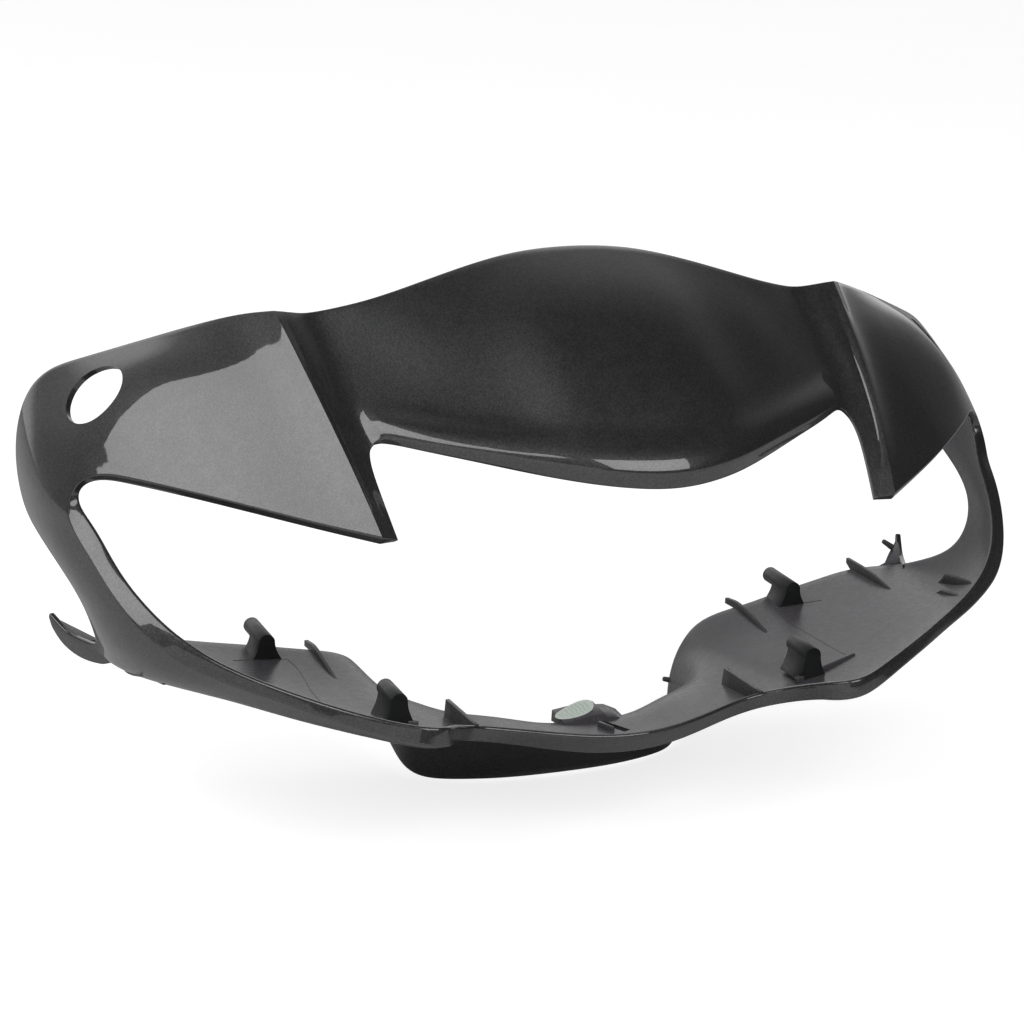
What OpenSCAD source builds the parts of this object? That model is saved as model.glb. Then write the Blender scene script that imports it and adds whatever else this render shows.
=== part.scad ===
// Headlight cowl: one injection-moulded shell ringed round the lamp opening.
// Mirror plane X = 0, front of the vehicle -Y, up +Z, screw bosses along Y.

/* [Shell] */
// width over the two arms, mm
cowl_w = 436; // [400:2:480]
// depth, lip of the visor to the tips of the horns, mm
cowl_d = 179; // [165:1:195]
// height, neck to the top of the visor, mm
cowl_h = 230; // [215:1:245]
// wall of the moulding, mm
wall_t = 2.4; // [2:0.1:3]
// length of one facet along the ring, mm
facet_len = 8; // [6:0.5:12]

/* [Mirror holes] */
// diameter of the mirror stem holes, mm
mirror_d = 28; // [20:0.5:32]

/* [Screw bosses] */
// outside diameter of the screw tubes, mm
boss_d = 7; // [6:0.1:9]
// pilot bore for the screws, mm
pilot_d = 3.4; // [2.5:0.1:4]
// depth of the pilot bores, mm
pilot_deep = 14; // [8:1:16]
// how much the left tubes and bores are shorter at each end, so that no two ends share a plane, mm
left_short = 0.05; // [0.05:0.05:0.5]

/* [Ribs and tongues] */
// thickness of the ribs and tongues, mm
rib_t = 1.8; // [1.2:0.1:2.4]
// thickness of the horns, mm
horn_t = 2.6; // [2:0.1:3.2]

/* [Sticker] */
// length of the oval inspection sticker, mm
sticker_l = 17; // [14:1:20]
// width of the oval inspection sticker, mm
sticker_w = 10; // [8:1:12]

/* [Hidden] */

// control net of the outer skin, right half, top centre round to bottom centre, at nominal size;
// columns: free edge of the return flange, ridge, two points on the skin, outer rim; [sharp, wall share]
nominal = [436, 179, 230];
middle = [0, -21, -3];
stations = [
    // visor, centre to valley
    [[0, -106.5, 37.6], [0, -110.5, 39.8], [0, -80, 73], [0, -41, 97], [0, 3, 112], [0, 1]],
    [[26, -100, 39], [27, -104, 41.3], [27, -75, 72], [26, -39, 95], [25, 2.5, 110.5], [0, 1]],
    [[49, -85.5, 41.2], [50, -89.5, 43.7], [51, -62, 67], [50, -31, 89.5], [48, 1.5, 105.5], [0, 1]],
    [[68, -73, 44.2], [69, -77, 46.7], [71, -52, 64], [71, -25, 84], [70, 1, 99], [0, 1]],
    [[85, -62, 46.7], [86, -66, 49.2], [88, -43, 62.5], [89, -18, 78], [89, 3, 93], [0, 1]],
    [[97, -52.5, 48.5], [97.5, -56.5, 50.8], [100, -36, 61.5], [103, -13, 74.5], [105.5, 10, 88.3], [0, 0.8]],
    // cleft and fang
    [[102.8, -46.5, 48.3], [102.5, -49.5, 49.5], [106, -38, 57.5], [108, -12, 73.5], [109, 11, 87.6], [0, 0.65]],
    [[106, -52.3, 45], [105.5, -55, 46], [109.5, -47, 53], [112.5, -17, 73], [112.5, 10, 87.9], [0, 0.6]],
    [[105.2, -65, 33.4], [104.5, -68, 34.5], [110.2, -60, 43.7], [114.6, -28, 67.8], [117, 8, 88.8], [0, 0.45]],
    [[103, -79.5, 17.8], [102, -82.5, 19.5], [110.3, -74.5, 32.5], [116.3, -38, 62], [121.5, 6.5, 89.8], [1, 0.5]],
    [[109.5, -83, 18.5], [109.5, -86, 22], [113.5, -68, 39.8], [120.3, -33, 67.5], [125, 5, 90.5], [1, 0.5]],
    // wing
    [[126.5, -68.5, 20.5], [127, -71.5, 24], [130, -42, 49.5], [133, -11.5, 71.5], [136, 20, 86.5], [0, 0.8]],
    [[147.5, -50.5, 23.5], [148, -54, 27.3], [149.5, -27, 50], [151, 1.5, 70], [152, 31, 80.5], [0, 1]],
    [[169.5, -28.5, 26], [170, -32, 29.7], [171.5, -7.5, 50.5], [173, 18, 66.5], [172.8, 45, 71.4], [0, 1]],
    [[187, -9, 27], [187, -12.5, 30.5], [187.3, 8, 50], [189.3, 31, 58.3], [191.8, 58, 63], [0, 1]],
    [[197, 4.5, 26.5], [197, 1, 30], [199, 18.5, 41.5], [202.5, 43, 48], [203.5, 66.5, 57.5], [0, 1]],
    [[202.5, 11, 22], [204, 8, 26], [207, 26, 34.3], [210.5, 47.5, 42], [211.5, 67.5, 50], [0, 1]],
    [[203.5, 9.5, 17.5], [207.5, 9, 19], [211.5, 27, 25.7], [215.5, 47, 32.7], [216, 67, 38], [0, 1]],
    [[203, 4, 14], [209, 6.5, 12.5], [214.5, 25, 16.5], [217.5, 45, 20], [218, 66, 22], [0, 1]],
    // arm
    [[200, -4, 8.5], [207, 0, 6], [213, 18, 6], [216, 39, 5], [216, 61, 2], [0, 1]],
    [[197, -15, 1.5], [204, -12, 0], [210, 5, -1.5], [213, 21, -3], [213.5, 38, -6], [0, 1]],
    [[193.5, -27, -6], [200.5, -24, -8], [205.5, -12, -9.5], [208.5, 2, -12], [209, 15, -14.5], [0, 1]],
    [[188.5, -39, -13], [195.5, -36, -16.5], [201, -24, -19], [204, -10, -21.5], [204, 3.5, -24], [0, 1]],
    [[182, -49, -19.5], [189, -46.5, -24], [195.5, -33, -29], [200, -14, -33], [199.5, 6, -37], [0, 1]],
    [[175, -56, -24.5], [181, -55, -30], [188.5, -38, -38.5], [195, -8, -44.5], [194.5, 24, -48.5], [0, 1]],
    [[170.5, -60, -27.5], [175, -59.5, -33], [182, -42, -43], [192, -3, -51], [193, 40, -54.5], [0, 1]],
    // floor
    [[166, -63, -30], [170, -63, -35], [175, -46, -46], [188, 2, -54], [193, 46, -59], [0, 1]],
    [[157, -68, -34], [160, -68.5, -39], [164, -50, -49.5], [177, 2, -56.5], [186, 49, -60], [0, 1]],
    [[148, -72.5, -37.5], [150, -73, -42], [153, -56, -52.5], [162, 0, -58.5], [168, 47, -58.8], [0, 1]],
    [[134, -79, -42.5], [135, -80, -47.5], [137, -64, -57], [141, -8, -62.5], [146, 43.5, -61.8], [0, 1]],
    [[117, -86.5, -47.5], [118, -88, -53], [119, -71, -61.5], [120, -14, -66], [121, 36, -63.5], [0, 1]],
    [[101.5, -95, -50.5], [102, -97, -57], [101, -79, -65], [100.3, -8, -68.4], [101, 28.5, -65], [0, 1]],
    [[91.5, -101.5, -51], [91, -103, -58.5], [90, -84, -66.5], [88.8, -2, -70.3], [88.5, 30, -67.5], [0, 1]],
    // step, central lip and neck
    [[86, -100, -51.5], [85.5, -101, -59.5], [85, -76, -68], [83.2, 2, -72.3], [82.3, 33, -72], [0, 1]],
    [[80.5, -91, -54.5], [80, -90, -62], [79, -64, -70.2], [79.8, 5.5, -75], [78.8, 35, -79.5], [0, 1]],
    [[73, -78, -60], [72, -77, -67.5], [72, -50, -72.5], [76.6, 9, -77.6], [76.2, 38.5, -88.5], [0, 1]],
    [[63, -69, -65.4], [62, -69, -72], [63.5, -42, -75], [70, 6, -81.5], [67, 26, -106], [0, 1]],
    [[49.5, -72, -67.6], [49, -69.5, -74.5], [51.5, -42, -77.5], [62.5, -1, -85.5], [64, 9, -117.2], [0, 1]],
    [[33, -79, -68.9], [33, -74, -77], [35, -48, -79.5], [41, -18, -84], [42, -3, -117.5], [0, 1]],
    [[17, -83.5, -70.3], [17, -78, -79], [18, -56, -81.5], [21, -30, -84.5], [21, -7, -117.5], [0, 1]],
    [[0, -86.5, -70.5], [0, -80, -79.5], [0, -58, -82], [0, -33, -84.5], [0, -8, -117.3], [0, 1]]
];
skin_steps = 3;

function flip(p) = [-p[0], p[1], p[2]];
grow = [cowl_w / nominal[0], cowl_d / nominal[1], cowl_h / nominal[2]];
function fit(p) = [for (k = [0:2]) (p[k] - middle[k]) * grow[k]];
half_n = len(stations);
ring_n = 2 * half_n - 2;
function at(i, k) = let (j = (i + ring_n) % ring_n)
    j < half_n ? fit(stations[j][k]) : flip(fit(stations[ring_n - j][k]));
function sharp(i) = let (j = (i + ring_n) % ring_n) stations[j < half_n ? j : ring_n - j][5][0];
function share(i) = let (j = (i + ring_n) % ring_n) stations[j < half_n ? j : ring_n - j][5][1];

// slope at b of a curve through a, b, c, scaled for a span of length s
function slope(a, b, c, s) = s * (c - a) / max(norm(b - a) + norm(c - b), 0.01);
function span(b, c, mb, mc, t) = let (t2 = t * t, t3 = t2 * t)
    (2 * t3 - 3 * t2 + 1) * b + (t3 - 2 * t2 + t) * mb + (3 * t2 - 2 * t3) * c + (t3 - t2) * mc;
function along(i, k, t) =
    let (a = at(i - 1, k), b = at(i, k), c = at(i + 1, k), d = at(i + 2, k), s = norm(c - b)) span(b, c, sharp(i) == 1 ? c - b : slope(a, b, c, s), sharp(i + 1) == 1 ? c - b : slope(b, c, d, s), t);
function longest(i) = max([for (k = [0:4]) norm(at(i + 1, k) - at(i, k))]);
// one section across the band: flange edge, ridge, then the skin to the rim
function section(q) = let (m1 = slope(q[1], q[2], q[3], 1), m2 = slope(q[2], q[3], q[4], 1))
    concat([q[0]], [for (k = [1:3], s = [0:skin_steps - 1]) let (c = norm(q[k + 1] - q[k]))
        span(q[k], q[k + 1], k == 1 ? q[2] - q[1] : (k == 2 ? m1 : m2) * c,
            k == 3 ? q[4] - q[3] : (k == 1 ? m1 : m2) * c, s / skin_steps)], [q[4]]);
grid = [for (i = [0:ring_n - 1]) let (n = max(1, ceil(longest(i) / facet_len)))
    for (s = [0:n - 1]) section([for (k = [0:4]) along(i, k, s / n)])];
rows = len(grid);
cols = len(grid[0]);
walls = [for (i = [0:ring_n - 1]) let (n = max(1, ceil(longest(i) / facet_len)))
    for (s = [0:n - 1]) wall_t * (share(i) + (share(i + 1) - share(i)) * s / n)];

function unit(v) = v / max(norm(v), 0.000001);
function face_n(a, b, c, d) = unit(cross(c - a, d - b));
function quad_n(i, j) = face_n(grid[(i + rows) % rows][j], grid[(i + 1) % rows][j],
    grid[(i + 1) % rows][j + 1], grid[(i + rows) % rows][j + 1]);
function point_n(i, j) = let (l = max(j - 1, 0), h = min(j, cols - 2))
    unit(quad_n(i - 1, l) + quad_n(i, l) + quad_n(i - 1, h) + quad_n(i, h));

module shell() {
    skin = [for (i = [0:rows - 1], j = [0:cols - 1]) grid[i][j]];
    back = [for (i = [0:rows - 1], j = [0:cols - 1]) grid[i][j] - walls[i] * point_n(i, j)];
    n = rows * cols;
    quads = [for (i = [0:rows - 1], j = [0:cols - 2]) let (r = ((i + 1) % rows) * cols, q = i * cols)
        [q + j, q + j + 1, r + j + 1, r + j]];
    edges = [for (i = [0:rows - 1]) let (r = ((i + 1) % rows) * cols, q = i * cols) each
        [[q, r, r + n], [q, r + n, q + n],
         [q + cols - 1 + n, r + cols - 1 + n, r + cols - 1], [q + cols - 1 + n, r + cols - 1, q + cols - 1]]];
    polyhedron(concat(skin, back), concat(
        [for (f = quads) each [[f[0], f[1], f[2]], [f[0], f[2], f[3]]]],
        [for (f = quads) each [[f[2] + n, f[1] + n, f[0] + n], [f[3] + n, f[2] + n, f[0] + n]]],
        edges), convexity = 8);
}

// smooth line through the given 2-D points
curve_steps = 4;
function curve(p) = let (n = len(p)) concat([for (i = [0:n - 2], k = [0:curve_steps - 1])
    let (a = p[max(i - 1, 0)], b = p[i], c = p[i + 1], d = p[min(i + 2, n - 1)], s = norm(c - b))
        span(b, c, slope(a, b, c, s), slope(b, c, d, s), k / curve_steps)], [p[n - 1]]);
// [y, z] of the control net brought to the part's frame
function fit_yz(q) = let (f = fit([0, q[0], q[1]])) [f[1], f[2]];
round_n = 32;
over = 1;

// plate of the given thickness standing in the YZ plane at x, outline as [y, z] points
module plate(x, t, outline)
    translate([fit([x, 0, 0])[0] - t / 2, 0, 0])
        rotate([90, 0, 90])
            linear_extrude(t)
                polygon([for (q = outline) fit_yz(q)]);

// tapered round pin between two points of the control net
pin_d = 3;
pin_taper = 0.7;
module pin(ends) {
    a = fit(ends[0]);
    v = fit(ends[1]) - a;
    translate(a)
        rotate([0, acos(v[2] / norm(v)), atan2(v[1], v[0])])
            cylinder(d1 = pin_d, d2 = pin_taper * pin_d, h = norm(v), $fn = round_n);
}

// screw boss: a level tube on a flared foot, closed in front, its mouth to the rear
boss_flare = 3.4;
foot_steps = 6;
rear_boss = fit([123.2, 19.7, -54.5]);
rear_tube = 23.5;
rear_foot = [14, 8.5];
front_boss = fit([92, -59, -55.5]);
front_tube = 18;
front_foot = [16, 10.5];
module boss_body(front, tube_l, foot_l, foot_h, short) {
    side = [for (i = [0:foot_steps]) let (u = i / foot_steps)
        [boss_d / 2 + boss_flare * (1 - cos(90 * u)), foot_h * u]];
    other = [for (i = [foot_steps:-1:0]) [-side[i][0], side[i][1]]];
    translate(front + [0, short, 0])
        rotate([-90, 0, 0]) {
            cylinder(d = boss_d, h = tube_l - 2 * short, $fn = round_n);
            linear_extrude(foot_l) polygon(concat(side, other));
        }
}
module boss_bore(front, tube_l, short)
    translate(front + [0, tube_l - pilot_deep + short, 0])
        rotate([-90, 0, 0])
            cylinder(d = pilot_d, h = pilot_deep + over, $fn = round_n);

// mirror hole, square to the shoulder of the wing
mirror_at = fit([191.7, 31, 54]);
mirror_axis = [0.773, -0.178, 0.609];
mirror_turn = atan2(mirror_axis[1], mirror_axis[0]);
mirror_tip = acos(mirror_axis[2] / norm(mirror_axis));
mirror_reach = 24;

// horn: a claw that carries the corner of the floor up and out past the rear rim;
// its lines are [distance behind horn_at, z]
horn_at = fit([193, 43, 0]);
horn_turn = atan2(0.44, 1);
horn_top = curve([[-6, -54], [0, -54.6], [12.5, -54.2], [19.4, -52], [26.6, -48.9]]);
horn_foot = curve([[27, -50.9], [24.3, -55.3], [16.3, -60.6], [4.7, -63], [-9, -62], [-16, -59.5]]);
module horn()
    translate([horn_at[0], horn_at[1], 0])
        rotate([90, 0, 90 - horn_turn])
            translate([0, 0, -horn_t / 2])
                linear_extrude(horn_t)
                    polygon([for (q = concat(horn_top, horn_foot)) [q[0] * grow[1], fit_yz([0, q[1]])[1]]]);

// web that joins the horn to the rim, and the prong on it
web_edge = [[180, 47.5, -58.5], [188, 49.5, -55], [194, 56.5, -52.8], [201.5, 63.5, -51.2]];
web_root = [[189.5, 42, -58.8], [195.5, 50.5, -60.5]];
prong = [[196.5, 59.5, -53], [191.3, 60, -49.4]];
module web_part(points) hull() for (p = points) translate(fit(p)) sphere(d = rib_t, $fn = 8);
module web() {
    web_part([web_edge[0], web_edge[1], web_root[0], web_root[1]]);
    web_part([web_edge[1], web_edge[2], web_edge[3], web_root[1]]);
}

// low step at the rear of the central floor that carries the sticker, in a frame of its own
step_rise = 5;
step_at = fit([-2, -29, -82]) + [0, 0, step_rise];
step_pitch = 3;
step_l = 14;
flank_tilt = 8;
flank_l = 12;
step_drop = 12;
step_top = [[0, 0], [6.5, 0.3], [7.5, -1.2], [11.5, -1.6], [17.5, -4.5]];
step_low = [[17.5, -step_drop], [-flank_l * cos(flank_tilt), -step_drop]];
step_end = [[-flank_l * cos(flank_tilt), -flank_l * sin(flank_tilt)]];
floor_at = fit([-4, -40, -82.5]);
floor_pitch = 6.7;
module on_step() translate(step_at) rotate([step_pitch, 0, 0]) children();
module step() intersection() {
    on_step()
        rotate([90, 0, 0])
            linear_extrude(step_l)
                polygon(concat(step_top, step_low, step_end));
    // its foot ends inside the wall of the floor
    translate(floor_at)
        rotate([-floor_pitch, 0, 0])
            translate([-2 * step_l, -2 * step_l, 0])
                cube([4 * step_l, 4 * step_l, step_l]);
}

// oval sticker, flat on the flank of the step
sticker_t = 0.2;
sticker_in = [4.5, 7];
module inspection_sticker() color([0.86, 0.9, 0.86])
    on_step()
        rotate([0, -flank_tilt, 0])
            translate([-sticker_in[0], -sticker_in[1], 0])
                linear_extrude(sticker_t)
                    scale([sticker_l, sticker_w])
                        circle(d = 1, $fn = 2 * round_n);

// slot for the lamp housing's catch, in front of the step, with a low guide
slot_at = fit([4.6, -52, -79]);
slot_turn = 20;
slot_size = [3.6, 16, 8];
guide_size = [1.6, 9, 3];
guide_gap = 2;
module slot() translate(slot_at) rotate(slot_turn) cube(slot_size, center = true);
module slot_guide()
    translate(slot_at)
        rotate(slot_turn)
            translate([-slot_size[0] / 2 - guide_gap - guide_size[0] / 2, 0, 0])
                cube(guide_size, center = true);

// low bar on the floor in front of the front boss
bar_run = [[84, -59.5, -65], [118.3, -47, -61.6]];
bar_w = 2;
bar_up = 0.8;
bar_down = 2.6;
module bar() {
    a = fit(bar_run[0]);
    v = fit(bar_run[1]) - a;
    translate(a)
        rotate([0, -asin(v[2] / norm(v)), atan2(v[1], v[0])])
            translate([0, -bar_w / 2, -bar_down])
                cube([norm(v), bar_w, bar_down + bar_up]);
}

// ribs in the YZ plane: distance from the mirror plane, then the outline as [y, z] points
tongue_in_x = 100;
tongue_in = [[-14, -67.3], [0, -65.2], [14, -62.8], [28, -61], [39.5, -62.3],
    [39.5, -65], [28, -64.5], [14, -66], [0, -67.6]];
tongue_out_x = 168.5;
tongue_out = [[6, -56.6], [18, -54.8], [32, -53.2], [52, -53.2], [52, -55.7], [46, -58], [20, -57.5]];
fin_x = 63;
fin = [[-69.5, -64.5], [-35.5, -66], [-34.5, -72], [-34.5, -75.5], [-55, -73.5], [-68.5, -71]];
// catch for the switch panel, two ribs inside the foot of the arm
catch_up_x = 187.5;
catch_up = [[-32, -41.6], [-18, -43.2], [-4, -45.4], [-2.5, -47.8],
    [2, -52.4], [-1, -53], [-12, -50.6], [-25, -46.6]];
catch_low_x = 179.5;
catch_low = [[-31, -46.2], [-15, -48.6], [-11, -51.2], [-12, -52.6], [-20, -51.4], [-31, -48.8]];
neck_tab = [[74, 33, -98], [67.5, 35, -96.6]];

module half_fittings(short) {
    boss_body(rear_boss, rear_tube, rear_foot[0], rear_foot[1], short);
    boss_body(front_boss, front_tube, front_foot[0], front_foot[1], short);
    horn();
    web();
    pin(neck_tab);
    bar();
    plate(tongue_in_x, rib_t, tongue_in);
    plate(tongue_out_x, rib_t, tongue_out);
    plate(fin_x, rib_t, fin);
    plate(catch_up_x, rib_t, catch_up);
    plate(catch_low_x, rib_t, catch_low);
}

module cowl() color([0.25, 0.25, 0.27]) {
    difference() {
        union() {
            shell();
            for (m = [0, 1]) mirror([m, 0, 0]) half_fittings(m * left_short);
            pin(prong);
            step();
            slot_guide();
        }
        for (m = [0, 1]) mirror([m, 0, 0]) {
            boss_bore(rear_boss, rear_tube, m * left_short);
            boss_bore(front_boss, front_tube, m * left_short);
            translate(mirror_at)
                rotate([0, mirror_tip, mirror_turn])
                    cylinder(d = mirror_d, h = mirror_reach, center = true, $fn = 3 * round_n);
        }
        slot();
    }
}

cowl();
inspection_sticker();
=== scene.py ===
"""Headlight cowl: a painted moulded shell with its fittings, and a small inspection sticker.

The shell is drawn from the guide lines of the part's source, at a finer pitch.
Net points are in mm, with the mirror plane at X = 0, the front at -Y and up at +Z.
The scene is in metres, in the frame of the row.
"""

from math import atan, atan2, ceil, cos, pi, radians, sin

import bmesh
import bpy
import numpy as np
from mathutils import Matrix, Vector
from mathutils.bvhtree import BVHTree

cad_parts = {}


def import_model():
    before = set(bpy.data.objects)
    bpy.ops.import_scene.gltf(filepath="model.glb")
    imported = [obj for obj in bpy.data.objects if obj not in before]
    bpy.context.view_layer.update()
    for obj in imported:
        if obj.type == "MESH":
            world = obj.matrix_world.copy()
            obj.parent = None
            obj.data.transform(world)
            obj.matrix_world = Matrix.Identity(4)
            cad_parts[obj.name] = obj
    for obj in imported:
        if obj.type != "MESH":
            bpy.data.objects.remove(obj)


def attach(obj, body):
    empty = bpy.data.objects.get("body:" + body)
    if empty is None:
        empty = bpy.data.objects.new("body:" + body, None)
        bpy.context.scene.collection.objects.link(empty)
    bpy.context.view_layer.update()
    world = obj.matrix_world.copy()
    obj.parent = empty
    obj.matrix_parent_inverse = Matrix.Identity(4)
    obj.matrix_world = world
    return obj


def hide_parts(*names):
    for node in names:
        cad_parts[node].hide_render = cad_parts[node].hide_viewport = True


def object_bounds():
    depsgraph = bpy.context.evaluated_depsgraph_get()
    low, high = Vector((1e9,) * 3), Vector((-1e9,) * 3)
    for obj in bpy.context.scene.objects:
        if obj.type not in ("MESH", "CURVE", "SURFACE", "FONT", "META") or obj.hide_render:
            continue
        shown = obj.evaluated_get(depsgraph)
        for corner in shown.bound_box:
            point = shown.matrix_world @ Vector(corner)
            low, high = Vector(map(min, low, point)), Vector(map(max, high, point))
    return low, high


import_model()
cad_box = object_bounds()

MM = 0.001
MIDDLE = np.array([0.0, -21.0, -3.0])  # origin of the row's frame, as a net point

# sizes in mm, as in the part's source
WALL = 2.4
MIRROR_AT, MIRROR_AXIS, MIRROR_D = [191.7, 31, 54], (0.773, -0.178, 0.609), 28.0
BOSS_D, PILOT_D, PILOT_DEEP = 7.0, 3.4, 14.0
RIB_T, HORN_T = 1.8, 2.6
STICKER_L, STICKER_W = 18.0, 10.0

# right half of the shell, top centre round to bottom centre. A station holds the free edge of
# the flange, the ridge, two points on the skin, the rim and, where it isn't [0, 1], [sharp,
# share of the wall]
STATIONS = [
    # visor, centre to valley
    [[0, -106.5, 37.6], [0, -110.5, 39.8], [0, -80, 73], [0, -41, 97], [0, 3, 112]],
    [[26, -100, 39], [27, -104, 41.3], [27, -75, 72], [26, -39, 95], [25, 2.5, 110.5]],
    [[49, -85.5, 41.2], [50, -89.5, 43.7], [51, -62, 67], [50, -31, 89.5], [48, 1.5, 105.5]],
    [[68, -73, 44.2], [69, -77, 46.7], [71, -52, 64], [71, -25, 84], [70, 1, 99]],
    [[85, -62, 46.7], [86, -66, 49.2], [88, -43, 62.5], [89, -18, 78], [89, 3, 93]],
    [[97, -52.5, 48.5], [97.5, -56.5, 50.8], [100, -36, 61.5], [103, -13, 74.5],
     [105.5, 10, 88.3], [0, 0.8]],
    # cleft and fang
    [[102.8, -46.5, 48.3], [102.5, -49.5, 49.5], [106, -38, 57.5], [108, -12, 73.5],
     [109, 11, 87.6], [0, 0.65]],
    [[106, -52.3, 45], [105.5, -55, 46], [109.5, -47, 53], [112.5, -17, 73],
     [112.5, 10, 87.9], [0, 0.6]],
    [[105.2, -65, 33.4], [104.5, -68, 34.5], [110.2, -60, 43.7], [114.6, -28, 67.8],
     [117, 8, 88.8], [0, 0.45]],
    [[103, -79.5, 17.8], [102, -82.5, 19.5], [110.3, -74.5, 32.5], [116.3, -38, 62],
     [121.5, 6.5, 89.8], [1, 0.5]],
    [[109.5, -83, 18.5], [109.5, -86, 22], [113.5, -68, 39.8], [120.3, -33, 67.5],
     [125, 5, 90.5], [1, 0.5]],
    # wing
    [[126.5, -68.5, 20.5], [127, -71.5, 24], [130, -42, 49.5], [133, -11.5, 71.5],
     [136, 20, 86.5], [0, 0.8]],
    [[147.5, -50.5, 23.5], [148, -54, 27.3], [149.5, -27, 50], [151, 1.5, 70], [152, 31, 80.5]],
    [[169.5, -28.5, 26], [170, -32, 29.7], [171.5, -7.5, 50.5], [173, 18, 66.5], [172.8, 45, 71.4]],
    [[187, -9, 27], [187, -12.5, 30.5], [187.3, 8, 50], [189.3, 31, 58.3], [191.8, 58, 63]],
    [[197, 4.5, 26.5], [197, 1, 30], [199, 18.5, 41.5], [202.5, 43, 48], [203.5, 66.5, 57.5]],
    [[202.5, 11, 22], [204, 8, 26], [207, 26, 34.3], [210.5, 47.5, 42], [211.5, 67.5, 50]],
    [[203.5, 9.5, 17.5], [207.5, 9, 19], [211.5, 27, 25.7], [215.5, 47, 32.7], [216, 67, 38]],
    [[203, 4, 14], [209, 6.5, 12.5], [214.5, 25, 16.5], [217.5, 45, 20], [218, 66, 22]],
    # arm
    [[200, -4, 8.5], [207, 0, 6], [213, 18, 6], [216, 39, 5], [216, 61, 2]],
    [[197, -15, 1.5], [204, -12, 0], [210, 5, -1.5], [213, 21, -3], [213.5, 38, -6]],
    [[193.5, -27, -6], [200.5, -24, -8], [205.5, -12, -9.5], [208.5, 2, -12], [209, 15, -14.5]],
    [[188.5, -39, -13], [195.5, -36, -16.5], [201, -24, -19], [204, -10, -21.5], [204, 3.5, -24]],
    [[182, -49, -19.5], [189, -46.5, -24], [195.5, -33, -29], [200, -14, -33], [199.5, 6, -37]],
    [[175, -56, -24.5], [181, -55, -30], [188.5, -38, -38.5], [195, -8, -44.5], [194.5, 24, -48.5]],
    [[170.5, -60, -27.5], [175, -59.5, -33], [182, -42, -43], [192, -3, -51], [193, 40, -54.5]],
    # floor
    [[166, -63, -30], [170, -63, -35], [175, -46, -46], [188, 2, -54], [193, 46, -59]],
    [[157, -68, -34], [160, -68.5, -39], [164, -50, -49.5], [177, 2, -56.5], [186, 49, -60]],
    [[148, -72.5, -37.5], [150, -73, -42], [153, -56, -52.5], [162, 0, -58.5], [168, 47, -58.8]],
    [[134, -79, -42.5], [135, -80, -47.5], [137, -64, -57], [141, -8, -62.5], [146, 43.5, -61.8]],
    [[117, -86.5, -47.5], [118, -88, -53], [119, -71, -61.5], [120, -14, -66], [121, 36, -63.5]],
    [[101.5, -95, -50.5], [102, -97, -57], [101, -79, -65], [100.3, -8, -68.4], [101, 28.5, -65]],
    [[91.5, -101.5, -51], [91, -103, -58.5], [90, -84, -66.5],
     [88.8, -2, -70.3], [88.5, 30, -67.5]],
    # step, central lip and neck
    [[86, -100, -51.5], [85.5, -101, -59.5], [85, -76, -68], [83.2, 2, -72.3], [82.3, 33, -72]],
    [[80.5, -91, -54.5], [80, -90, -62], [79, -64, -70.2], [79.8, 5.5, -75], [78.8, 35, -79.5]],
    [[73, -78, -60], [72, -77, -67.5], [72, -50, -72.5], [76.6, 9, -77.6], [76.2, 38.5, -88.5]],
    [[63, -69, -65.4], [62, -69, -72], [63.5, -42, -75], [70, 6, -81.5], [67, 26, -106]],
    [[49.5, -72, -67.6], [49, -69.5, -74.5], [51.5, -42, -77.5],
     [62.5, -1, -85.5], [64, 9, -117.2]],
    [[33, -79, -68.9], [33, -74, -77], [35, -48, -79.5], [41, -18, -84], [42, -3, -117.5]],
    [[17, -83.5, -70.3], [17, -78, -79], [18, -56, -81.5], [21, -30, -84.5], [21, -7, -117.5]],
    [[0, -86.5, -70.5], [0, -80, -79.5], [0, -58, -82], [0, -33, -84.5], [0, -8, -117.3]]
]

# the photo's camera, solved from the mirror symmetry of the cowl; place in m, lens in mm
CAMERA_AT = Vector((-0.41344, -0.94451, 0.31671))
CAMERA_YAW, CAMERA_DROP, CAMERA_ROLL = atan(2600 / 6757), radians(18), 0.0848
SENSOR, LENS, CLIP_END = 36, 91.41, 50


def place_camera():
    yaw, roll = CAMERA_YAW, CAMERA_ROLL
    right = Vector((cos(yaw), -sin(yaw), 0))
    ahead = Vector((sin(yaw), cos(yaw), 0))
    up = Vector((0, 0, 1))
    right, up = cos(roll) * right - sin(roll) * up, sin(roll) * right + cos(roll) * up
    drop = Matrix.Rotation(-CAMERA_DROP, 3, "X")
    right, up, ahead = drop @ right, drop @ up, drop @ ahead
    data = bpy.data.cameras.new("camera")
    data.sensor_width, data.lens, data.clip_end = SENSOR, LENS, CLIP_END
    camera = bpy.data.objects.new("camera", data)
    bpy.context.scene.collection.objects.link(camera)
    facing = Matrix((right, up, -ahead)).transposed().to_4x4()
    camera.matrix_world = Matrix.Translation(CAMERA_AT) @ facing
    bpy.context.scene.camera = camera


# ---------------------------------------------------------------- mesh helpers
def place(p):
    """Net point in mm to scene metres."""
    return (np.asarray(p, float) - MIDDLE) * MM


def add_object(name, mesh, materials=()):
    for m in materials:
        mesh.materials.append(m)
    obj = bpy.data.objects.new(name, mesh)
    bpy.context.scene.collection.objects.link(obj)
    return obj


def from_lists(name, verts, faces, materials, indices=None):
    mesh = bpy.data.meshes.new(name)
    mesh.from_pydata([tuple(v) for v in verts], [], faces)
    obj = add_object(name, mesh, materials)
    if indices is not None:
        mesh.polygons.foreach_set("material_index", np.asarray(indices, dtype=np.int32))
    return obj


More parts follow.
